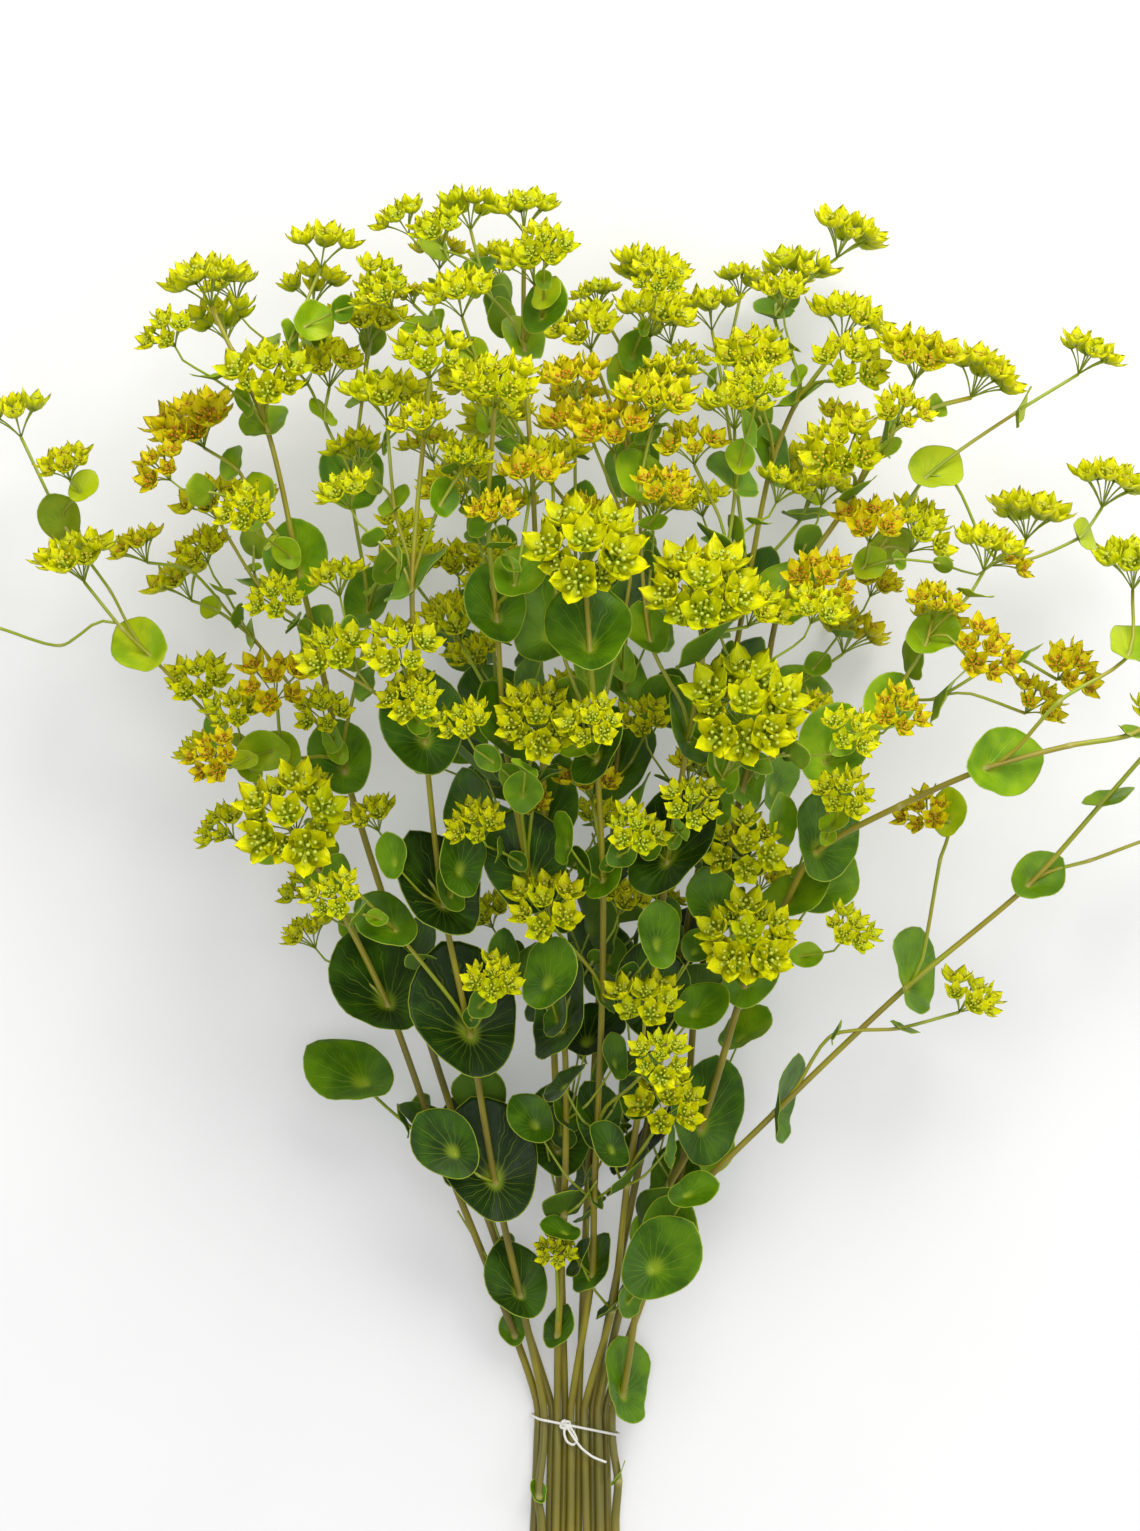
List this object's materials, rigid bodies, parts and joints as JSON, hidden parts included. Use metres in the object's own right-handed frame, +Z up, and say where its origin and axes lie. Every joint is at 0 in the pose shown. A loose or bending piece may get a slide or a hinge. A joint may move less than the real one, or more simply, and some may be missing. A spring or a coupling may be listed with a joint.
{
  "type": "bupleurum bunch",
  "caption": "Bunch of cut bupleurum lying down: forking stems pierce round green leaves and end in yellow-green bracted heads, tied low with thin white string.",
  "frame": {"origin": "on the table, on the flat underside of a stem 60 mm below the string", "axes": "+Y along the bunch towards the flowering tips, +Z up from the table, +X to the right as seen from above with the tips away"},
  "size_m": [0.5761, 0.6584, 0.2239],
  "materials": {
    "foliage": "living leaf green, satin, pale veins and a pale edge line",
    "stalks": "smooth hollow green-gold stalks, browner towards the cut ends",
    "bracts": "lime yellow pointed bracts, greener at the foot of each cup",
    "florets": "tiny pale green to orange florets, matt and grainy",
    "string": "thin white twisted cotton string, matt"
  },
  "bodies": {
    "root": {"leafy_stem_01": "foliage", "leafy_stem_02": "foliage", "leafy_stem_03": "foliage", "leafy_stem_04": "foliage", "leafy_stem_05": "foliage", "leafy_stem_06": "foliage", "leafy_stem_07": "foliage", "leafy_stem_08": "foliage", "leafy_stem_09": "foliage", "leafy_stem_10": "foliage", "leafy_stem_11": "foliage", "leafy_stem_12": "foliage", "string_tie": "string"}
  },
  "joints": []
}
